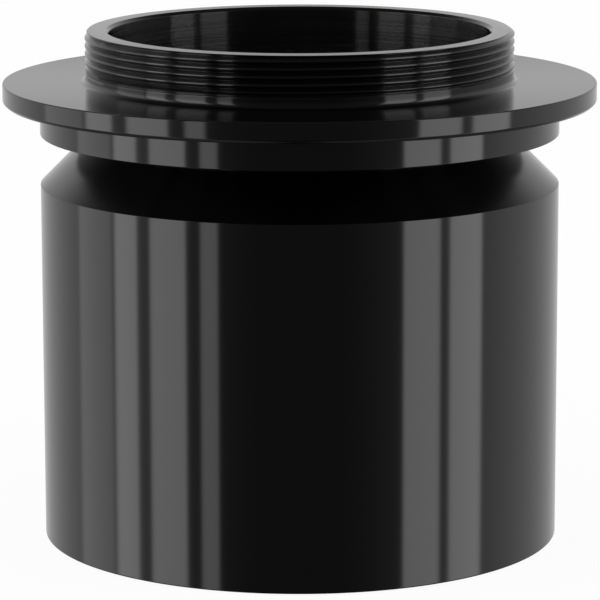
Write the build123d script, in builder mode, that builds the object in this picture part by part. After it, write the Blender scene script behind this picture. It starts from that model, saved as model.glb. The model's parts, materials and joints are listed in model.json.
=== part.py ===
"""A two-inch barlow lens with a camera collar.

A black nose barrel slides into a telescope's two-inch focuser. A camera adapter screws into its
top and carries a T-thread collar, and a cell with an air-spaced negative doublet screws into it
from below. The origin is the middle of the nose end, where the lens stands. +Z is the optical
axis, towards the camera. Millimetres.
"""

from build123d import *
import math
import os

# Clearances
RUNNING_GAP = 0.05
PRESS_GAP = 0.02
EDGE_BREAK = 0.15

# Threads: 60 degree grooves cut as rings, one for each turn
PITCH = 0.75
THREAD_DEPTH = 0.46
RING_PITCH = 0.5
RING_THREAD_DEPTH = 0.3

# Nose barrel, outside
BARREL_R = 25.4
BARREL_TOP = 35.0
NECK_R = 21.2
STEP_LOW = 40.0
STEP_TOP = 43.0
SEAT_DEPTH = 0.2

# Filter thread in the nose end, M48 x 0.75
FILTER_MINOR_R = 23.594
FILTER_TURNS = 6
FILTER_ENTRY = 0.4
FILTER_TOP = FILTER_ENTRY + FILTER_TURNS * PITCH + 0.5

# Lens cell and its thread in the barrel
CELL_TURNS = 7
CELL_THREAD_R = 22.55
CELL_HEAD_R = 23.0
CELL_HEAD_RECESS_R = 23.15
CELL_BASE = 5.9
CELL_SEAT = 8.15
CELL_THREAD_TOP = CELL_SEAT + CELL_TURNS * PITCH
CELL_SLEEVE_R = 21.3
CELL_LIP = 1.0
MAIN_BORE_R = 21.6
MAIN_BORE_LOW = CELL_THREAD_TOP + 0.8
MAIN_BORE_TOP = 33.0

# Glass
GLASS_R = 19.0
CLEAR_R = 18.0
RING_BASE = 7.1
RING_TURNS = 3
RING_R = 19.7
RING_TOP = RING_BASE + RING_TURNS * RING_PITCH
CUSHION_THICKNESS = 0.5
POSITIVE_BASE = RING_TOP + CUSHION_THICKNESS
POSITIVE_EDGE = 1.4
POSITIVE_CURVE_R = 48.0
POSITIVE_REAR_CURVE_R = 281.0
SPACER_THICKNESS = 0.4
NEGATIVE_BASE = POSITIVE_BASE + POSITIVE_EDGE + SPACER_THICKNESS
NEGATIVE_CURVE_R = 50.0
NEGATIVE_CENTRE = 1.8

# Light baffles
BAFFLE_THICKNESS = 1.2
KNIFE_EDGE = 0.15
LOWER_BAFFLE_BASE = 24.0
LOWER_BAFFLE_R = 18.2
UPPER_BAFFLE_R = 18.0
BAFFLE_SLEEVE_R = 20.6
ADAPTER_BAFFLE_BASE = 37.3
ADAPTER_BAFFLE_R = 17.5

# Camera adapter
SPIGOT_TURNS = 7
SPIGOT_THREAD_R = 20.0
SPIGOT_BASE = 37.0
SPIGOT_THREAD_TOP = SPIGOT_BASE + SPIGOT_TURNS * PITCH
SPIGOT_WELL = 36.4
LEDGE_R = 19.2
FLANGE_R = 29.0
FLANGE_TOP = 45.0
FLANGE_CHAMFER = 0.3
COLLAR_THREAD_R = 20.95
COLLAR_BAND_R = 20.88
COLLAR_FILLET = 0.6
COLLAR_TURNS = 4
COLLAR_THREAD_LOW = 46.58
RIM = 50.0
RIM_CHAMFER = 0.3
RIM_BORE_CHAMFER = 0.3
CAMERA_BORE_R = 18.6

# Spanner slots
CELL_SLOT_WIDTH = 2.0
CELL_SLOT_DEPTH = 1.2
RING_SLOT_WIDTH = 1.6
RING_SLOT_DEPTH = 0.8

os.makedirs("parts", exist_ok=True)


def thread(low, turns, crest, depth, pitch=PITCH):
    """The (radius, height) corners of a thread's grooves, going up. A depth below 0 cuts outwards."""
    half = abs(depth) * math.tan(math.radians(30))
    corners = []
    for turn in range(turns):
        middle = low + (turn + 0.5) * pitch
        corners += [(crest, middle - half), (crest - depth, middle), (crest, middle + half)]
    return corners


def bore_thread(low, turns, crest, depth, pitch=PITCH):
    """The corners of a thread inside a bore, going down."""
    return thread(low, turns, crest, -depth, pitch)[::-1]


def sag(curve_r, r):
    """How deep a lens surface of radius curve_r is at the distance r from the axis."""
    return curve_r - math.sqrt(curve_r**2 - r**2)


def knife_ring(outer_r, inner_r, base):
    """The section of a baffle whose hole narrows to a thin edge at the top."""
    top = base + BAFFLE_THICKNESS
    slope = BAFFLE_THICKNESS - KNIFE_EDGE
    return [
        (outer_r, base),
        (outer_r, top),
        (inner_r, top),
        (inner_r, top - KNIFE_EDGE),
        (inner_r + slope, base),
    ]


# ---- Barrel: nose, safety undercut, step ring and everything cut into them ----
barrel_end = STEP_TOP + SEAT_DEPTH
barrel_outside = [
    (BARREL_R - EDGE_BREAK, 0),
    (BARREL_R, EDGE_BREAK),
    (BARREL_R, BARREL_TOP),
    (NECK_R, BARREL_TOP + BARREL_R - NECK_R),
    (NECK_R, STEP_LOW),
    (BARREL_R - EDGE_BREAK, STEP_LOW),
    (BARREL_R, STEP_LOW + EDGE_BREAK),
    (BARREL_R, barrel_end - EDGE_BREAK),
    (BARREL_R - EDGE_BREAK, barrel_end),
]
spigot_bore_r = SPIGOT_THREAD_R + RUNNING_GAP
cell_bore_r = CELL_THREAD_R + RUNNING_GAP
barrel_inside = [
    (spigot_bore_r + THREAD_DEPTH, barrel_end),
    (spigot_bore_r, barrel_end - THREAD_DEPTH),
    *bore_thread(SPIGOT_BASE, SPIGOT_TURNS, spigot_bore_r, THREAD_DEPTH),
    (spigot_bore_r, SPIGOT_WELL),
    (LEDGE_R, SPIGOT_WELL),
    (LEDGE_R, MAIN_BORE_TOP),
    (MAIN_BORE_R, MAIN_BORE_TOP),
    (MAIN_BORE_R, MAIN_BORE_LOW),
    (cell_bore_r + THREAD_DEPTH, MAIN_BORE_LOW),
    (cell_bore_r + THREAD_DEPTH, CELL_THREAD_TOP),
    (cell_bore_r, CELL_THREAD_TOP),
    *bore_thread(CELL_SEAT, CELL_TURNS, cell_bore_r, THREAD_DEPTH),
    (cell_bore_r, CELL_SEAT),
    (CELL_HEAD_RECESS_R, CELL_SEAT),
    (CELL_HEAD_RECESS_R, FILTER_TOP),
    (FILTER_MINOR_R, FILTER_TOP),
    *bore_thread(FILTER_ENTRY, FILTER_TURNS, FILTER_MINOR_R, THREAD_DEPTH),
    (FILTER_MINOR_R, FILTER_ENTRY),
    (FILTER_MINOR_R + FILTER_ENTRY, 0),
]
with BuildPart() as barrel:
    with BuildSketch(Plane.XZ):
        with BuildLine():
            Polyline(barrel_outside + barrel_inside, close=True)
        make_face()
    revolve(axis=Axis.Z)
barrel.part.label = "barrel"
export_step(barrel.part, "parts/barrel.step")

# ---- Baffle stack: two knife-edged rings and the sleeve that holds them apart ----
stack_r = MAIN_BORE_R - PRESS_GAP
upper_baffle_base = MAIN_BORE_TOP - BAFFLE_THICKNESS
sleeve_base = LOWER_BAFFLE_BASE + BAFFLE_THICKNESS

with BuildPart() as lower_baffle:
    with BuildSketch(Plane.XZ):
        with BuildLine():
            Polyline(knife_ring(stack_r, LOWER_BAFFLE_R, LOWER_BAFFLE_BASE), close=True)
        make_face()
    revolve(axis=Axis.Z)
lower_baffle.part.label = "lower_baffle"
export_step(lower_baffle.part, "parts/lower_baffle.step")

with BuildPart() as baffle_sleeve:
    with BuildSketch(Plane.XY.offset(sleeve_base)):
        Circle(stack_r)
        Circle(BAFFLE_SLEEVE_R, mode=Mode.SUBTRACT)
    extrude(amount=upper_baffle_base - sleeve_base)
baffle_sleeve.part.label = "baffle_sleeve"
export_step(baffle_sleeve.part, "parts/baffle_sleeve.step")

with BuildPart() as upper_baffle:
    with BuildSketch(Plane.XZ):
        with BuildLine():
            Polyline(knife_ring(stack_r, UPPER_BAFFLE_R, upper_baffle_base), close=True)
        make_face()
    revolve(axis=Axis.Z)
upper_baffle.part.label = "upper_baffle"
export_step(upper_baffle.part, "parts/upper_baffle.step")

# ---- Camera adapter: threaded spigot, flange and T-thread collar in one turned piece.
# A shallow seat under the flange takes the barrel's end, so that the flange's rim is a stop. ----
spigot = [
    (CAMERA_BORE_R, SPIGOT_BASE),
    (SPIGOT_THREAD_R, SPIGOT_BASE),
    *thread(SPIGOT_BASE, SPIGOT_TURNS, SPIGOT_THREAD_R, THREAD_DEPTH),
    (SPIGOT_THREAD_R, SPIGOT_THREAD_TOP),
    (SPIGOT_THREAD_R - THREAD_DEPTH, SPIGOT_THREAD_TOP),
    (SPIGOT_THREAD_R - THREAD_DEPTH, barrel_end),
]
seat_r = BARREL_R + RUNNING_GAP
flange = [
    (seat_r, barrel_end),
    (seat_r, STEP_TOP),
    (FLANGE_R - FLANGE_CHAMFER, STEP_TOP),
    (FLANGE_R, STEP_TOP + FLANGE_CHAMFER),
    (FLANGE_R, FLANGE_TOP - EDGE_BREAK),
    (FLANGE_R - EDGE_BREAK, FLANGE_TOP),
    (COLLAR_BAND_R + COLLAR_FILLET, FLANGE_TOP),
]
collar = [
    (COLLAR_BAND_R, FLANGE_TOP + COLLAR_FILLET),
    (COLLAR_BAND_R, COLLAR_THREAD_LOW - EDGE_BREAK),
    (COLLAR_THREAD_R, COLLAR_THREAD_LOW),
    *thread(COLLAR_THREAD_LOW, COLLAR_TURNS, COLLAR_THREAD_R, THREAD_DEPTH),
    (COLLAR_THREAD_R, RIM - RIM_CHAMFER),
    (COLLAR_THREAD_R - RIM_CHAMFER, RIM),
    (CAMERA_BORE_R + RIM_BORE_CHAMFER, RIM),
    (CAMERA_BORE_R, RIM - RIM_BORE_CHAMFER),
    spigot[0],
]
with BuildPart() as camera_adapter:
    with BuildSketch(Plane.XZ):
        with BuildLine():
            Polyline(spigot + flange)
            RadiusArc(flange[-1], collar[0], COLLAR_FILLET)
            Polyline(collar)
        make_face()
    revolve(axis=Axis.Z)
camera_adapter.part.label = "camera_adapter"
export_step(camera_adapter.part, "parts/camera_adapter.step")

adapter_ring_r = CAMERA_BORE_R - RUNNING_GAP
with BuildPart() as adapter_baffle:
    with BuildSketch(Plane.XZ):
        with BuildLine():
            Polyline(knife_ring(adapter_ring_r, ADAPTER_BAFFLE_R, ADAPTER_BAFFLE_BASE), close=True)
        make_face()
    revolve(axis=Axis.Z)
adapter_baffle.part.label = "adapter_baffle"
export_step(adapter_baffle.part, "parts/adapter_baffle.step")

# ---- Lens cell ----
negative_top = NEGATIVE_BASE + NEGATIVE_CENTRE + 2 * sag(NEGATIVE_CURVE_R, CLEAR_R)
cell_top = negative_top + CELL_LIP
glass_bore_r = GLASS_R + RUNNING_GAP
ring_bore_r = RING_R + RUNNING_GAP
ring_entry_r = ring_bore_r + RING_THREAD_DEPTH + EDGE_BREAK
cell_outside = [
    (CELL_HEAD_R - EDGE_BREAK, CELL_BASE),
    (CELL_HEAD_R, CELL_BASE + EDGE_BREAK),
    (CELL_HEAD_R, CELL_SEAT),
    (CELL_THREAD_R, CELL_SEAT),
    *thread(CELL_SEAT, CELL_TURNS, CELL_THREAD_R, THREAD_DEPTH),
    (CELL_THREAD_R, CELL_THREAD_TOP),
    (CELL_SLEEVE_R, CELL_THREAD_TOP),
    (CELL_SLEEVE_R, cell_top - EDGE_BREAK),
    (CELL_SLEEVE_R - EDGE_BREAK, cell_top),
]
cell_inside = [
    (CLEAR_R + CELL_LIP, cell_top),
    (CLEAR_R, negative_top + EDGE_BREAK),
    (CLEAR_R, negative_top),
    (glass_bore_r, negative_top),
    (glass_bore_r, RING_TOP),
    (ring_bore_r, RING_TOP),
    *bore_thread(RING_BASE, RING_TURNS, ring_bore_r, RING_THREAD_DEPTH, RING_PITCH),
    (ring_bore_r, RING_BASE),
    (ring_entry_r, RING_BASE),
    (ring_entry_r, CELL_BASE),
]
with BuildPart() as lens_cell:
    with BuildSketch(Plane.XZ):
        with BuildLine():
            Polyline(cell_outside + cell_inside, close=True)
        make_face()
    revolve(axis=Axis.Z)
    with BuildSketch(Plane.XY.offset(CELL_BASE)):
        Rectangle(2 * CELL_HEAD_R, CELL_SLOT_WIDTH)
    extrude(amount=CELL_SLOT_DEPTH, mode=Mode.SUBTRACT)
lens_cell.part.label = "lens_cell"
export_step(lens_cell.part, "parts/lens_cell.step")

# ---- Glass: a positive meniscus below and a biconcave negative above, an air space apart ----
positive_top = POSITIVE_BASE + POSITIVE_EDGE
positive_apex = positive_top + sag(POSITIVE_CURVE_R, CLEAR_R)
positive_hollow = POSITIVE_BASE + sag(POSITIVE_REAR_CURVE_R, CLEAR_R)
with BuildPart() as positive_element:
    with BuildSketch(Plane.XZ):
        with BuildLine():
            RadiusArc((0, positive_hollow), (CLEAR_R, POSITIVE_BASE), POSITIVE_REAR_CURVE_R)
            Polyline(
                (CLEAR_R, POSITIVE_BASE),
                (GLASS_R, POSITIVE_BASE),
                (GLASS_R, positive_top),
                (CLEAR_R, positive_top),
            )
            RadiusArc((CLEAR_R, positive_top), (0, positive_apex), -POSITIVE_CURVE_R)
            Line((0, positive_apex), (0, positive_hollow))
        make_face()
    revolve(axis=Axis.Z)
positive_element.part.label = "positive_element"
export_step(positive_element.part, "parts/positive_element.step")

negative_sag = sag(NEGATIVE_CURVE_R, CLEAR_R)
with BuildPart() as negative_element:
    with BuildSketch(Plane.XZ):
        with BuildLine():
            RadiusArc(
                (0, NEGATIVE_BASE + negative_sag), (CLEAR_R, NEGATIVE_BASE), NEGATIVE_CURVE_R
            )
            Polyline(
                (CLEAR_R, NEGATIVE_BASE),
                (GLASS_R, NEGATIVE_BASE),
                (GLASS_R, negative_top),
                (CLEAR_R, negative_top),
            )
            RadiusArc(
                (CLEAR_R, negative_top), (0, negative_top - negative_sag), NEGATIVE_CURVE_R
            )
            Line((0, negative_top - negative_sag), (0, NEGATIVE_BASE + negative_sag))
        make_face()
    revolve(axis=Axis.Z)
negative_element.part.label = "negative_element"
export_step(negative_element.part, "parts/negative_element.step")

with BuildPart() as element_spacer:
    with BuildSketch(Plane.XY.offset(positive_top)):
        Circle(GLASS_R - RUNNING_GAP)
        Circle(CLEAR_R + RUNNING_GAP, mode=Mode.SUBTRACT)
    extrude(amount=SPACER_THICKNESS)
element_spacer.part.label = "element_spacer"
export_step(element_spacer.part, "parts/element_spacer.step")

# ---- Retaining ring and the cushion between it and the glass ----
with BuildPart() as cushion_ring:
    with BuildSketch(Plane.XY.offset(RING_TOP)):
        Circle(GLASS_R)
        Circle(CLEAR_R, mode=Mode.SUBTRACT)
    extrude(amount=CUSHION_THICKNESS)
cushion_ring.part.label = "cushion_ring"
export_step(cushion_ring.part, "parts/cushion_ring.step")

ring_section = [
    (CLEAR_R + EDGE_BREAK, RING_BASE),
    (RING_R, RING_BASE),
    *thread(RING_BASE, RING_TURNS, RING_R, RING_THREAD_DEPTH, RING_PITCH),
    (RING_R, RING_TOP),
    (CLEAR_R, RING_TOP),
    (CLEAR_R, RING_BASE + EDGE_BREAK),
]
with BuildPart() as retaining_ring:
    with BuildSketch(Plane.XZ):
        with BuildLine():
            Polyline(ring_section, close=True)
        make_face()
    revolve(axis=Axis.Z)
    with BuildSketch(Plane.XY.offset(RING_BASE)):
        Rectangle(2 * RING_R, RING_SLOT_WIDTH)
    extrude(amount=RING_SLOT_DEPTH, mode=Mode.SUBTRACT)
retaining_ring.part.label = "retaining_ring"
export_step(retaining_ring.part, "parts/retaining_ring.step")
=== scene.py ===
"""The looks of the barlow lens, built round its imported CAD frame.

Every metal piece is turned: its section is drawn as an outline in millimetres and carried round the
optical axis, with real helical threads. The glass, the spacer, the cushion and the baffles are made
the same way. The studio is a dim room with a few soft lights round the object, and a plain pale
floor.
"""

import json
import math

import bmesh
import bpy
import numpy as np
from mathutils import Euler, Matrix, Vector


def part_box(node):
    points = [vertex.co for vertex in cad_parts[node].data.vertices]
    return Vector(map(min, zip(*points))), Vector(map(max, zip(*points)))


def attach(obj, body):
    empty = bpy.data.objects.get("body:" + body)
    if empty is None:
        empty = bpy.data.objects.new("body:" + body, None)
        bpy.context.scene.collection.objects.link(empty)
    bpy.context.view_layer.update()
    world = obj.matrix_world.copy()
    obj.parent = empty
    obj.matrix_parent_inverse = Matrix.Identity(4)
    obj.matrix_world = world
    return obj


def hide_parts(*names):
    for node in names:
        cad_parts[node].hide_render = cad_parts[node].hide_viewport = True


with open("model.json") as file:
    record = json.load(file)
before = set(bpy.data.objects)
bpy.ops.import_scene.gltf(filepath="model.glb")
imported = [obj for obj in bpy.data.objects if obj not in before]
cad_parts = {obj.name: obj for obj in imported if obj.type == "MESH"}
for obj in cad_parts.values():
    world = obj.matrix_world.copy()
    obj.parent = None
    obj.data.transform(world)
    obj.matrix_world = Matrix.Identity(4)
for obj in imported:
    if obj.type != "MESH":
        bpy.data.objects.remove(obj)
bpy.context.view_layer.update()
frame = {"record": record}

MM = 0.001
COLUMNS = 360
UV_MM = 100.0

# Threads: 60 degree grooves
PITCH = 0.75
THREAD_DEPTH = 0.46
RING_PITCH = 0.5
RING_THREAD_DEPTH = 0.3
FLANK = math.tan(math.radians(30))
GROOVE_HEIGHTS = (-1.12, -0.9, -0.03, 0.03, 0.9, 1.12)

# Sizes that the nodes' boxes don't give, in millimetres
EDGE_BREAK = 0.15
FINE_CORNER = 0.25
CORNER_SHARE = 0.45
CORNER_SHARE_BY_THREAD = 0.85
SHOULDER = 35.0
NECK_R = 21.2
STEP_LOW = 40.0
FLANGE_LOW = 43.0
FLANGE_HIGH = 45.0
FLANGE_CHAMFER = 0.3
SEAT_R = 25.45
FILTER_R = 23.594
FILTER_ENTRY = 0.4
FILTER_TOP = 5.4
HEAD_RECESS_R = 23.15
CELL_SEAT = 8.15
CELL_THREAD_TOP = 13.4
CELL_THREAD_R = 22.55
CELL_SLEEVE_R = 21.3
CELL_LIP = 1.0
MAIN_BORE_R = 21.6
MAIN_BORE_LOW = 14.2
MAIN_BORE_HIGH = 33.0
LEDGE_R = 19.2
SPIGOT_WELL = 36.4
SPIGOT_R = 20.0
SPIGOT_THREAD_TOP = 42.25
COLLAR_R = 20.95
COLLAR_BAND_R = 20.88
COLLAR_FILLET = 0.6
COLLAR_THREAD_LOW = 46.5
COLLAR_BAND_STEP = 0.07
COLLAR_FILLET_ROOM = 0.9
COLLAR_GROOVE_IN_FRONT = 46.83
COLLAR_RUN_OUT = 0.6
COLLAR_FADE_TURNS = 2.0
CAMERA_BORE_R = 18.6
RIM_CHAMFER = 0.3
RIM_BORE_CHAMFER = 0.3
CLEAR_R = 18.0
THREAD_GAP = 0.05
KNIFE_EDGE = 0.15
LOWER_BAFFLE_R = 18.2
UPPER_BAFFLE_R = 18.0
ADAPTER_BAFFLE_R = 17.5
BAFFLE_SLEEVE_R = 20.6
GLASS_BORE_R = 19.05
SPACER_BORE_R = 18.05
POSITIVE_REAR_CURVE_R = 281.0
POSITIVE_CURVE_R = 48.0
NEGATIVE_CURVE_R = 50.0
GLASS_STEPS = 20
RING_ENTRY_R = 20.2
SLOT_EDGE = 0.08
HAIR = 0.01


def span(node):
    """A CAD node's outer radius, lowest height and highest height, in millimetres."""
    low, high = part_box(node)
    return round(high.x / MM, 3), round(low.z / MM, 3), round(high.z / MM, 3)


# ---- Turned shapes ----
class Thread:
    """A stretch of an outline, heights rising, that a right-hand groove winds through.

    first is the height of the groove's middle where its first turn starts, at angle 0. An end that
    isn't open lets the groove grow out of the plain wall over fade turns.
    """

    def __init__(self, points, crest, inside=False, first=None, pitch=PITCH, depth=THREAD_DEPTH,
                 open_low=True, open_high=True, fade=0.6, falling=False):
        self.heights = [z for r, z in points]
        self.radii = [r for r, z in points]
        self.crest = crest
        self.side = -1 if inside else 1
        self.pitch = pitch
        self.depth = depth
        self.half = depth * FLANK
        self.fade = fade
        self.falling = falling
        self.open_low = open_low
        self.open_high = open_high
        low, high = self.heights[0], self.heights[-1]
        if first is None:
            first = low - self.half * 1.2 if open_low else low + 0.3 * pitch
        self.first = first
        room = high - first
        if open_high:
            self.turns = math.ceil((room + 1.2 * self.half) / pitch) - 1
        else:
            self.turns = math.floor((room - 0.3 * pitch) / pitch) - 1

    def share(self, turn):
        """How deep the groove is after that many turns, from 0 to 1."""
        start = 1.0 if self.open_low else smooth(turn / self.fade)
        end = 1.0 if self.open_high else smooth((self.turns + 1 - turn) / self.fade)
        return min(start, end)

    def section(self, part):
        """The (radius, height) points of the stretch at that part of a turn."""
        grooves = [
            (self.first + self.pitch * (k + part), self.share(k + part))
            for k in range(self.turns + 1)
        ]
        heights = self.heights[1:-1]
        for middle, share in grooves:
            heights = heights + [middle + self.half * share * g for g in GROOVE_HEIGHTS]
        low, high = self.heights[0], self.heights[-1]
        heights = [low] + sorted(min(max(z, low), high) for z in heights) + [high]
        points = []
        for z in heights:
            plain = float(np.interp(z, self.heights, self.radii))
            cut = max(self.cut(z, middle, share) for middle, share in grooves)
            groove = self.crest - self.side * cut
            if cut > 0:
                plain = self.side * min(self.side * plain, self.side * groove)
            points.append((plain, z))
        return points

    def cut(self, z, middle, share):
        """How deep one groove is at the height z: a V."""
        if share < 1e-4:
            return 0.0
        away = abs(z - middle) / (self.half * share)
        return max(0.0, 1.0 - away) * self.depth * share


def smooth(x):
    """0 below 0, 1 above 1, and a smooth rise between."""
    x = min(max(x, 0.0), 1.0)
    return x * x * (3 - 2 * x)


def rounded(before, point, after, size, shares):
    """The points of a small arc in place of the corner at point. It takes up to the given share of
    the stretch on each side."""
    p = np.array(point, float)
    ends = []
    for other, share in zip((before, after), shares):
        way = np.array(other, float) - p
        length = np.linalg.norm(way)
        ends.append(p + way / length * min(size, share * length))
    a, b = ends
    steps = 3 if size < FINE_CORNER else 8
    times = [i / steps for i in range(steps + 1)]
    return [tuple(a * (1 - t) ** 2 + p * 2 * t * (1 - t) + b * t**2) for t in times]


def softened(outline, size, closed=True):
    """The outline with every corner rounded. A corner may give its own size as a third number, and
    0 leaves it as it is."""
    flat = []
    for item in outline:
        if isinstance(item, Thread):
            ends = list(zip(item.radii, item.heights))
            ends = ends[::-1] if item.falling else ends
            flat.append((ends[0], ends[-1]))
        else:
            flat.append((item[:2], item[:2]))
    result = []
    count = len(outline)
    for i, item in enumerate(outline):
        if isinstance(item, Thread):
            result.append(item)
            continue
        end = not closed and i in (0, count - 1)
        radius = item[2] if len(item) > 2 else size
        if end or radius == 0:
            result.append(item[:2])
            continue
        after = (i + 1) % count
        shares = [
            CORNER_SHARE_BY_THREAD if isinstance(outline[k], Thread) else CORNER_SHARE
            for k in (i - 1, after)
        ]
        result += rounded(flat[i - 1][1], item[:2], flat[after][0], radius, shares)
    return result


def columns_round(slot=None):
    """(angle, distance from the slot's middle line) of each column. Beside a slot that runs along X
    the columns are parallel to it, so that its walls are straight."""
    step = 2 * math.pi / COLUMNS
    if slot is None:
        return [(i * step, None) for i in range(COLUMNS)]
    half = slot["width"] / 2
    across = [0.0, 0.35 * half, 0.7 * half, half - HAIR, half, half + SLOT_EDGE / 2, half + SLOT_EDGE]
    nearest = math.asin((half + SLOT_EDGE) / slot["clear_r"])
    first = math.ceil(nearest / step) + 1
    stations = []
    for quarter in range(4):
        start = quarter * math.pi / 2
        turned_in = quarter % 2 == 0
        plain = [start + i * step for i in range(COLUMNS // 4)]
        if turned_in:
            stations += [(start, y) for y in across]
            stations += [(a, None) for a in plain[first:]]
        else:
            stations += [(a, None) for a in plain[: len(plain) - first + 1]]
            stations += [(start + math.pi / 2, -y) for y in across[:0:-1]]
    return stations


def slot_floor(offset, slot):
    """How high the slot has cut the piece away, that far from its middle line."""
    if offset is None:
        return None
    inside = slot["width"] / 2 - abs(offset)
    if inside > 0.001:
        return slot["low"] + slot["depth"]
    return slot["low"] + SLOT_EDGE + inside


def place(point, station):
    """Where a section's point stands in the column at station."""
    r, z = point
    angle, offset = station
    if offset is None:
        return r * math.cos(angle), r * math.sin(angle), z
    side = 1 if abs(math.cos(angle) - 1) < 0.1 else -1
    y = offset * side
    return side * math.sqrt(max(r * r - y * y, 0.0)), y, z


def turned(name, node, outline, materials, edge=EDGE_BREAK, closed=True,
           slot=None, material_of=None):
    """A piece turned from its outline, which stands for the CAD node."""
    outline = softened(outline, edge, closed)
    stations = columns_round(slot)
    count = len(stations)

    def column(part, floor):
        """The section there, with what lies under the slot's floor pushed up to it."""
        points, starts = [], []
        for item in outline:
            if isinstance(item, Thread):
                stretch = item.section(part)
                if floor is not None:
                    radius = np.interp(floor, [z for r, z in stretch], [r for r, z in stretch])
                    stretch = [(r, z) if z > floor else (float(radius), floor) for r, z in stretch]
                starts.append((len(points), len(stretch), item))
                points += stretch[::-1] if item.falling else stretch
            else:
                points.append(item if floor is None else (item[0], max(item[1], floor)))
        return points, starts

    grid, lengths = [], []
    for angle, offset in stations:
        part = angle / (2 * math.pi)
        if offset is not None:
            part += math.asin(offset / slot["clear_r"]) / (2 * math.pi)
        points, starts = column(part % 1.0, slot_floor(offset, slot))
        grid.append(points)
        steps = [math.dist(a, b) for a, b in zip(points, points[1:])]
        lengths.append(np.concatenate([[0.0], np.cumsum(steps)]))
    rows = len(grid[0])

    # Where the last column meets the first, each groove has risen by one turn.
    first_ids = list(range(rows))
    seam_ids = list(range(rows))
    groove = len(GROOVE_HEIGHTS)
    for start, size, item in starts:
        inner = range(start + 1, start + size - 1)
        if item.falling:
            for row in inner[-groove:]:
                first_ids[row] = start + size - 1
            for row in inner:
                seam_ids[row] = row - groove if row - groove > start else start
        else:
            for row in inner[:groove]:
                first_ids[row] = start
            for row in inner:
                seam_ids[row] = row + groove if row + groove < start + size - 1 else start + size - 1

    def corner(row, col):
        if col == 0:
            return 0, first_ids[row]
        if col == count:
            return 0, first_ids[seam_ids[row]]
        return col, row

    verts = [place(p, stations[c]) for c in range(count) for p in grid[c]]
    faces, uvs, kinds = [], [], []
    for row in range(rows if closed else rows - 1):
        above = (row + 1) % rows
        for col in range(count):
            loop = []
            for r, c in ((row, col), (row, col + 1), (above, col + 1), (above, col)):
                where = corner(r, c)
                vertex = where[0] * rows + where[1]
                if vertex in [v for v, uv in loop]:
                    continue
                along = lengths[where[0]][where[1]]
                if above == 0 and r == 0:
                    along = lengths[col][-1] + math.dist(grid[col][-1], grid[col][0])
                loop.append((vertex, (c / count, along / UV_MM)))
            if len(loop) < 3:
                continue
            faces.append([v for v, uv in loop])
            uvs += [uv for v, uv in loop]
            kinds.append(material_of(grid[col][row], grid[col][above]) if material_of else 0)

    mesh = bpy.data.meshes.new(name)
    mesh.from_pydata([[x * MM for x in v] for v in verts], [], faces)
    layer = mesh.uv_layers.new(name="turning")
    layer.data.foreach_set("uv", np.array(uvs, np.float32).ravel())
    mesh.polygons.foreach_set("material_index", kinds)
    for material in materials:
        mesh.materials.append(material)

    work = bmesh.new()
    work.from_mesh(mesh)
    bmesh.ops.remove_doubles(work, verts=work.verts, dist=0.0002 * MM)
    bmesh.ops.dissolve_degenerate(work, edges=work.edges, dist=0.0001 * MM)
    bmesh.ops.delete(work, geom=[v for v in work.verts if not v.link_faces], context="VERTS")
    bmesh.ops.recalc_face_normals(work, faces=work.faces)
    for face in work.faces:
        face.smooth = True
    work.to_mesh(mesh)
    work.free()
    mesh.set_sharp_from_angle(angle=math.radians(50))

    piece = bpy.data.objects.new(name, mesh)
    bpy.context.scene.collection.objects.link(piece)
    shading = piece.modifiers.new("even_shading", "WEIGHTED_NORMAL")
    shading.keep_sharp = True
    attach(piece, body_of[node])
    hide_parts(node)
    return piece


body_of = {
    node: body for body, nodes in frame["record"]["behaviour"]["bodies"].items() for node in nodes
}


# ---- Materials ----
def new_material(name):
    """A material with only a Principled shader, and a helper that adds nodes to it."""
    material = bpy.data.materials.new(name)
    material.use_nodes = True
    tree = material.node_tree
    shader = tree.nodes["Principled BSDF"]

    def node(kind, **settings):
        made = tree.nodes.new(kind)
        for key, value in settings.items():
            if key in made.inputs:
                made.inputs[key].default_value = value
            else:
                setattr(made, key, value)
        return made

    def join(source, output, target, socket):
        tree.links.new(source.outputs[output], target.inputs[socket])

    return material, shader, node, join


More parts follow.
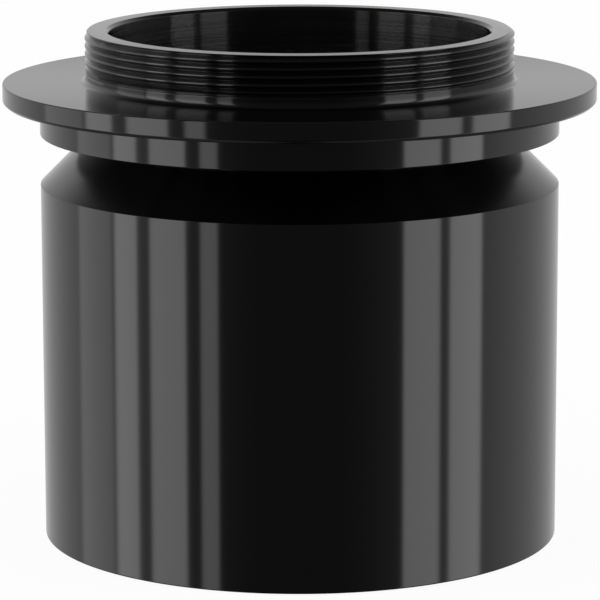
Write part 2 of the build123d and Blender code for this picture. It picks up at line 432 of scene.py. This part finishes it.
def anodised(name, base, roughness, spread, marks, feed):
    """Black anodised aluminium straight off the lathe. The turning marks run round the axis, feed
    millimetres apart, so a reflection is sharp sideways and smeared along the section."""
    material, shader, node, join = new_material(name)
    shader.inputs["IOR"].default_value = 1.5
    shader.inputs["Anisotropic"].default_value = spread
    shader.inputs["Anisotropic Rotation"].default_value = 0.25
    tangent = node("ShaderNodeTangent", direction_type="RADIAL", axis="Z")
    join(tangent, "Tangent", shader, "Tangent")

    # The marks: one dimension of noise along the section, the same all the way round, which tips
    # the surface along the section and never sideways.
    uv = node("ShaderNodeUVMap", uv_map="turning")
    parts = node("ShaderNodeSeparateXYZ")
    join(uv, "UV", parts, "Vector")
    lines = node("ShaderNodeTexNoise", noise_dimensions="1D", Scale=UV_MM / feed, Detail=2.0)
    join(parts, "Y", lines, "W")
    tip = node("ShaderNodeMapRange", clamp=False)
    tip.inputs["To Min"].default_value = 0.5 - marks
    tip.inputs["To Max"].default_value = 0.5 + marks
    join(lines, "Fac", tip, "Value")
    slope = node("ShaderNodeCombineXYZ", X=0.5, Z=1.0)
    join(tip, "Result", slope, "Y")
    tipped = node("ShaderNodeNormalMap", space="TANGENT", uv_map="turning")
    join(slope, "Vector", tipped, "Color")
    join(tipped, "Normal", shader, "Normal")

    # The dye takes a little unevenly, and so does the polish.
    place_in = node("ShaderNodeTexCoord")
    patches = node("ShaderNodeTexNoise", Scale=140.0, Detail=5.0, Roughness=0.6)
    join(place_in, "Object", patches, "Vector")
    gloss = node("ShaderNodeMapRange")
    gloss.inputs["To Min"].default_value = roughness * 0.9
    gloss.inputs["To Max"].default_value = roughness * 1.1
    join(patches, "Fac", gloss, "Value")
    join(gloss, "Result", shader, "Roughness")
    dye = node("ShaderNodeValToRGB")
    dye.color_ramp.elements[0].color = (*[base * 0.7] * 3, 1)
    dye.color_ramp.elements[1].color = (*[base * 1.3] * 3, 1)
    join(patches, "Fac", dye, "Fac")
    join(dye, "Color", shader, "Base Color")
    return material


def matt_black(name, base, roughness, grain):
    """Blackened with a matt paint that has a fine grain."""
    material, shader, node, join = new_material(name)
    shader.inputs["IOR"].default_value = 1.45
    place_in = node("ShaderNodeTexCoord")
    grains = node("ShaderNodeTexNoise", Scale=grain, Detail=6.0, Roughness=0.7)
    join(place_in, "Object", grains, "Vector")
    bump = node("ShaderNodeBump", Strength=0.6, Distance=0.00005)
    join(grains, "Fac", bump, "Height")
    join(bump, "Normal", shader, "Normal")
    tone = node("ShaderNodeValToRGB")
    tone.color_ramp.elements[0].color = (*[base * 0.6] * 3, 1)
    tone.color_ramp.elements[1].color = (*[base * 1.4] * 3, 1)
    join(grains, "Fac", tone, "Fac")
    join(tone, "Color", shader, "Base Color")
    dull = node("ShaderNodeMapRange")
    dull.inputs["To Min"].default_value = roughness - 0.06
    dull.inputs["To Max"].default_value = roughness + 0.06
    join(grains, "Fac", dull, "Value")
    join(dull, "Result", shader, "Roughness")
    return material


def coated_glass(name, film):
    """Polished optical glass under an anti-reflection coating that is film nanometres thick."""
    material, shader, node, join = new_material(name)
    shader.inputs["Base Color"].default_value = (0.97, 0.99, 0.98, 1)
    shader.inputs["Transmission Weight"].default_value = 1.0
    shader.inputs["IOR"].default_value = 1.62
    shader.inputs["Thin Film Thickness"].default_value = film
    shader.inputs["Thin Film IOR"].default_value = 1.38
    place_in = node("ShaderNodeTexCoord")
    haze = node("ShaderNodeTexNoise", Scale=60.0, Detail=2.0)
    join(place_in, "Object", haze, "Vector")
    polish = node("ShaderNodeMapRange")
    polish.inputs["To Min"].default_value = 0.0
    polish.inputs["To Max"].default_value = 0.015
    join(haze, "Fac", polish, "Value")
    join(polish, "Result", shader, "Roughness")
    return material


gloss = anodised("gloss_black_anodised", base=0.0008, roughness=0.13, spread=1.0, marks=0.05, feed=0.03)
bored = anodised("bored_black_anodised", base=0.0008, roughness=0.1, spread=1.0, marks=0.5, feed=0.008)
threaded = anodised("threaded_anodised", base=0.0008, roughness=0.14, spread=1.0, marks=0.2, feed=0.008)
flank = anodised("thread_flank_anodised", base=0.0008, roughness=0.15, spread=1.0, marks=0.85, feed=0.008)
satin = anodised("satin_black_anodised", base=0.004, roughness=0.3, spread=0.7, marks=0.2, feed=0.12)
matt = matt_black("matt_black_paint", base=0.014, roughness=0.8, grain=9000.0)
front_glass = coated_glass("front_glass", film=118.0)
rear_glass = coated_glass("rear_glass", film=105.0)
edge_paint = matt_black("lens_edge_paint", base=0.02, roughness=0.7, grain=16000.0)
nylon = matt_black("black_nylon", base=0.03, roughness=0.45, grain=5000.0)


# ---- Barrel ----
def make_barrel():
    outer_r, base, top = span("barrel")
    spigot_r = SPIGOT_R + THREAD_GAP
    cell_r = CELL_THREAD_R + THREAD_GAP
    outline = [
        (outer_r, base),
        (outer_r, SHOULDER, 0.04),
        (NECK_R, SHOULDER + outer_r - NECK_R, 0.3),
        (NECK_R, STEP_LOW, 0.3),
        (outer_r, STEP_LOW, 0.05),
        (outer_r, top),
        Thread(
            [(spigot_r, SPIGOT_WELL), (spigot_r, top - THREAD_DEPTH), (spigot_r + THREAD_DEPTH, top)],
            crest=spigot_r, inside=True, open_low=False, falling=True,
        ),
        (LEDGE_R, SPIGOT_WELL),
        (LEDGE_R, MAIN_BORE_HIGH),
        (MAIN_BORE_R, MAIN_BORE_HIGH),
        (MAIN_BORE_R, MAIN_BORE_LOW),
        (cell_r + THREAD_DEPTH, MAIN_BORE_LOW),
        (cell_r + THREAD_DEPTH, CELL_THREAD_TOP, 0.05),
        Thread(
            [(cell_r, CELL_SEAT), (cell_r, CELL_THREAD_TOP)],
            crest=cell_r, inside=True, falling=True,
        ),
        (HEAD_RECESS_R, CELL_SEAT, 0.05),
        (HEAD_RECESS_R, FILTER_TOP),
        Thread(
            [(FILTER_R + FILTER_ENTRY, base), (FILTER_R, FILTER_ENTRY), (FILTER_R, FILTER_TOP)],
            crest=FILTER_R, inside=True, open_high=False, falling=True,
        ),
    ]
    return turned("nose_barrel", "barrel", outline, [gloss])


# ---- Camera adapter ----
def make_adapter():
    flange_r, base, rim = span("camera_adapter")
    relief_r = SPIGOT_R - THREAD_DEPTH
    barrel_end = span("barrel")[2]
    turn_to_front = 0.75
    collar_first = COLLAR_GROOVE_IN_FRONT - (1 + turn_to_front) * PITCH
    outline = [
        (CAMERA_BORE_R, base, 0.3),
        Thread(
            [(relief_r, base), (SPIGOT_R, base + THREAD_DEPTH), (SPIGOT_R, SPIGOT_THREAD_TOP)],
            crest=SPIGOT_R,
        ),
        (relief_r, SPIGOT_THREAD_TOP, 0.05),
        (relief_r, barrel_end, 0.1),
        (SEAT_R, barrel_end, 0.05),
        (SEAT_R, FLANGE_LOW, 0.1),
        (flange_r - FLANGE_CHAMFER, FLANGE_LOW, 0.08),
        (flange_r, FLANGE_LOW + FLANGE_CHAMFER, 0.08),
        (flange_r, FLANGE_HIGH, 0.15),
        (COLLAR_BAND_R, FLANGE_HIGH, COLLAR_FILLET),
        Thread(
            [
                (COLLAR_BAND_R, FLANGE_HIGH + COLLAR_FILLET_ROOM),
                (COLLAR_BAND_R, COLLAR_THREAD_LOW - COLLAR_BAND_STEP),
                (COLLAR_R, COLLAR_THREAD_LOW),
                (COLLAR_R, rim - RIM_CHAMFER),
                (COLLAR_R - RIM_CHAMFER, rim),
            ],
            crest=COLLAR_R, first=collar_first, open_low=False, fade=COLLAR_FADE_TURNS,
        ),
        (CAMERA_BORE_R + RIM_BORE_CHAMFER, rim, 0.05),
        (CAMERA_BORE_R, rim - RIM_BORE_CHAMFER, 0.05),
    ]

    def finish_of(a, b):
        """The bore and the collar's thread are cut with a pointed tool, so they are rougher, and
        the flanks of the thread the most."""
        if max(a[0], b[0]) < CAMERA_BORE_R + HAIR:
            return 1
        cut = min(a[1], b[1]) > COLLAR_THREAD_LOW - COLLAR_RUN_OUT and max(a[1], b[1]) < rim - HAIR
        if not cut or min(a[0], b[0]) < CAMERA_BORE_R + 1:
            return 0
        return 3 if abs(a[0] - b[0]) > abs(a[1] - b[1]) else 2

    finishes = [gloss, bored, threaded, flank]
    return turned("camera_adapter_turned", "camera_adapter", outline, finishes, material_of=finish_of)


# ---- Lens cell and retaining ring ----
def make_cell():
    head_r, base, top = span("lens_cell")
    ring_r, ring_base, ring_top = span("retaining_ring")
    negative_top = span("negative_element")[2]
    ring_bore = ring_r + THREAD_GAP
    outline = [
        (head_r, base),
        (head_r, CELL_SEAT, 0.08),
        Thread([(CELL_THREAD_R, CELL_SEAT), (CELL_THREAD_R, CELL_THREAD_TOP)], crest=CELL_THREAD_R),
        (CELL_SLEEVE_R, CELL_THREAD_TOP, 0.1),
        (CELL_SLEEVE_R, top),
        (CLEAR_R + CELL_LIP, top, 0.06),
        (CLEAR_R, negative_top + EDGE_BREAK, 0.04),
        (CLEAR_R, negative_top, 0.04),
        (GLASS_BORE_R, negative_top, 0.06),
        (GLASS_BORE_R, ring_top, 0.06),
        Thread(
            [(ring_bore, ring_base), (ring_bore, ring_top)],
            crest=ring_bore, inside=True, pitch=RING_PITCH, depth=RING_THREAD_DEPTH, falling=True,
        ),
        (RING_ENTRY_R, ring_base, 0.05),
        (RING_ENTRY_R, base, 0.1),
    ]
    slot = {"width": 2.0, "depth": 1.2, "low": base, "clear_r": RING_ENTRY_R}
    return turned("turned_lens_cell", "lens_cell", outline, [satin], slot=slot)


def make_ring():
    ring_r, base, top = span("retaining_ring")
    outline = [
        (CLEAR_R, base),
        Thread(
            [(ring_r, base), (ring_r, top)],
            crest=ring_r, pitch=RING_PITCH, depth=RING_THREAD_DEPTH,
        ),
        (CLEAR_R, top, 0.08),
    ]
    slot = {"width": 1.6, "depth": 0.8, "low": base, "clear_r": CLEAR_R}
    return turned("turned_retaining_ring", "retaining_ring", outline, [satin], slot=slot)


# ---- Glass ----
def dish(edge, curve_r, rising):
    """Half of a polished face, from the axis to its edge height at the clear radius. A face that
    rises is higher at its edge than in its middle."""
    drop = curve_r - math.sqrt(curve_r**2 - CLEAR_R**2)
    points = []
    for i in range(GLASS_STEPS + 1):
        r = CLEAR_R * i / GLASS_STEPS
        lift = curve_r - math.sqrt(curve_r**2 - r * r) - drop
        points.append((r, edge + (lift if rising else -lift), 0))
    return points


def make_element(name, node, below, above, front):
    """A lens with polished faces and a ground edge under black paint."""
    outer_r, base, top = span(node)
    outline = below + [(outer_r, below[-1][1], 0.12), (outer_r, above[-1][1], 0.12)] + above[::-1]

    def finish_of(a, b):
        return 1 if min(a[0], b[0]) > CLEAR_R - HAIR else 0

    return turned(name, node, outline, [front, edge_paint], closed=False,
                  material_of=finish_of)


def make_glass():
    positive_base = span("cushion_ring")[2]
    positive_top = span("element_spacer")[1]
    negative_base = span("element_spacer")[2]
    negative_top = span("negative_element")[2]
    make_element(
        "polished_positive_element", "positive_element",
        dish(positive_base, POSITIVE_REAR_CURVE_R, rising=False),
        dish(positive_top, POSITIVE_CURVE_R, rising=False), front_glass,
    )
    make_element(
        "polished_negative_element", "negative_element",
        dish(negative_base, NEGATIVE_CURVE_R, rising=False),
        dish(negative_top, NEGATIVE_CURVE_R, rising=True), rear_glass,
    )


# ---- Plain rings and light baffles ----
def make_plain_ring(name, node, bore_r, material, edge):
    """A ring of rectangular section."""
    outer_r, base, top = span(node)
    outline = [(bore_r, base), (outer_r, base), (outer_r, top), (bore_r, top)]
    return turned(name, node, outline, [material], edge=edge)


def make_baffle(name, node, bore_r):
    """A ring whose bore is a knife edge at the top, so that nothing glances off it."""
    outer_r, base, top = span(node)
    slope = top - base - KNIFE_EDGE
    outline = [
        (outer_r, base),
        (outer_r, top),
        (bore_r, top, 0.02),
        (bore_r, top - KNIFE_EDGE, 0.02),
        (bore_r + slope, base, 0.1),
    ]
    return turned(name, node, outline, [matt], edge=0.08)


make_barrel()
make_adapter()
make_cell()
make_ring()
make_glass()
make_plain_ring("blackened_spacer", "element_spacer", SPACER_BORE_R, matt, 0.05)
make_plain_ring("nylon_cushion_ring", "cushion_ring", CLEAR_R, nylon, 0.12)
make_plain_ring("blackened_sleeve", "baffle_sleeve", BAFFLE_SLEEVE_R, matt, 0.08)
make_baffle("blackened_lower_baffle", "lower_baffle", LOWER_BAFFLE_R)
make_baffle("blackened_upper_baffle", "upper_baffle", UPPER_BAFFLE_R)
make_baffle("blackened_adapter_baffle", "adapter_baffle", ADAPTER_BAFFLE_R)


# ---- Studio ----
# The soft lights round the object: where each begins and ends, as the compass direction in degrees
# from the camera's side, and how much brighter than the room it is.
SOFT_LIGHTS = [
    (-115, -90, 0.7),
    (-90, -75, 2.2),
    (-70, -50, 2.2),
    (-45, -35, 1.5),
    (45, 65, 2.2),
    (68, 88, 2.2),
]
LIGHT_EDGE = 2.0
ROOM_BY_CAMERA = 0.1
ROOM_BEHIND = 0.75
OVERHEAD = 0.1


def make_world():
    """A plain studio: a dim room, paler behind the object, with a few soft lights round it."""
    world = bpy.data.worlds.new("studio")
    bpy.context.scene.world = world
    world.use_nodes = True
    tree = world.node_tree
    tree.nodes.clear()
    link = tree.links.new

    def node(kind, operation=None):
        made = tree.nodes.new(kind)
        if operation:
            made.operation = operation
        return made

    def ramp(value, low, high, start, end):
        made = node("ShaderNodeMapRange")
        made.interpolation_type = "SMOOTHSTEP"
        link(value, made.inputs["Value"])
        made.inputs["From Min"].default_value = low
        made.inputs["From Max"].default_value = high
        made.inputs["To Min"].default_value = start
        made.inputs["To Max"].default_value = end
        return made.outputs["Result"]

    def math_of(operation, a, b):
        made = node("ShaderNodeMath", operation)
        for socket, value in zip(made.inputs, (a, b)):
            if isinstance(value, (int, float)):
                socket.default_value = value
            else:
                link(value, socket)
        return made.outputs["Value"]

    direction = node("ShaderNodeSeparateXYZ")
    link(node("ShaderNodeTexCoord").outputs["Generated"], direction.inputs["Vector"])
    x, y, z = (direction.outputs[i] for i in range(3))
    bearing = math_of("MULTIPLY", math_of("ARCTAN2", x, math_of("MULTIPLY", y, -1.0)), 180 / math.pi)

    light = ramp(math_of("ABSOLUTE", bearing, 0.0), 15.0, 110.0, ROOM_BY_CAMERA, ROOM_BEHIND)
    for start, end, brightness in SOFT_LIGHTS:
        rise = ramp(bearing, start, start + LIGHT_EDGE, 0.0, brightness)
        fall = ramp(bearing, end - LIGHT_EDGE, end, 0.0, -brightness)
        light = math_of("ADD", light, math_of("ADD", rise, fall))
    light = math_of("MULTIPLY", light, ramp(z, -0.6, -0.3, 0.2, 1.0))
    ceiling = ramp(z, 0.3, 0.7, 0.0, 1.0)
    mixed = node("ShaderNodeMix")
    link(ceiling, mixed.inputs["Factor"])
    link(light, mixed.inputs["A"])
    mixed.inputs["B"].default_value = OVERHEAD
    seen = node("ShaderNodeBackground")
    link(mixed.outputs["Result"], seen.inputs["Color"])
    backdrop = node("ShaderNodeBackground")
    backdrop.inputs["Color"].default_value = (1, 1, 1, 1)
    choice = node("ShaderNodeMixShader")
    link(node("ShaderNodeLightPath").outputs["Is Camera Ray"], choice.inputs["Fac"])
    link(seen.outputs["Background"], choice.inputs[1])
    link(backdrop.outputs["Background"], choice.inputs[2])
    link(choice.outputs["Shader"], node("ShaderNodeOutputWorld").inputs["Surface"])


def disc(name, radius, height):
    """A round sheet, for the stage."""
    mesh = bpy.data.meshes.new(name)
    work = bmesh.new()
    bmesh.ops.create_circle(work, cap_ends=True, segments=128, radius=radius)
    work.to_mesh(mesh)
    work.free()
    made = bpy.data.objects.new(name, mesh)
    bpy.context.scene.collection.objects.link(made)
    made.location.z = height
    return made


def make_floor():
    """The plain pale floor. The object doesn't mirror it, so that its lower half stays dark."""
    floor = disc("floor", 1.6, -0.0002)
    material, shader = new_material("pale_floor")[:2]
    shader.inputs["Base Color"].default_value = (0.12, 0.12, 0.12, 1)
    shader.inputs["Roughness"].default_value = 1.0
    shader.inputs["Specular IOR Level"].default_value = 0.0
    shader.inputs["Emission Color"].default_value = (1, 1, 1, 1)
    shader.inputs["Emission Strength"].default_value = 0.95
    floor.data.materials.append(material)
    floor.visible_glossy = False


# ---- Camera ----
# Where it stands, in metres, how it is turned, in degrees, and its lens, in millimetres
CAMERA_BACK = 0.35770
CAMERA_HEIGHT = 0.09344
CAMERA_TILT = 11.136
CAMERA_ROLL = 0.103
CAMERA_LENS = 221.1


def make_camera():
    """The camera, at the photograph's viewing angle."""
    data = bpy.data.cameras.new("camera")
    data.sensor_width = 36.0
    data.lens = CAMERA_LENS
    camera = bpy.data.objects.new("camera", data)
    bpy.context.scene.collection.objects.link(camera)
    camera.location = (0.0, -CAMERA_BACK, CAMERA_HEIGHT)
    tilt = Euler((math.radians(90 - CAMERA_TILT), 0, 0)).to_matrix()
    roll = Euler((0, 0, math.radians(-CAMERA_ROLL))).to_matrix()
    camera.rotation_euler = (tilt @ roll).to_euler()
    data.clip_start = 0.01
    data.clip_end = 10.0
    bpy.context.scene.camera = camera


make_world()
make_floor()
make_camera()
bpy.context.scene.view_settings.view_transform = "Standard"
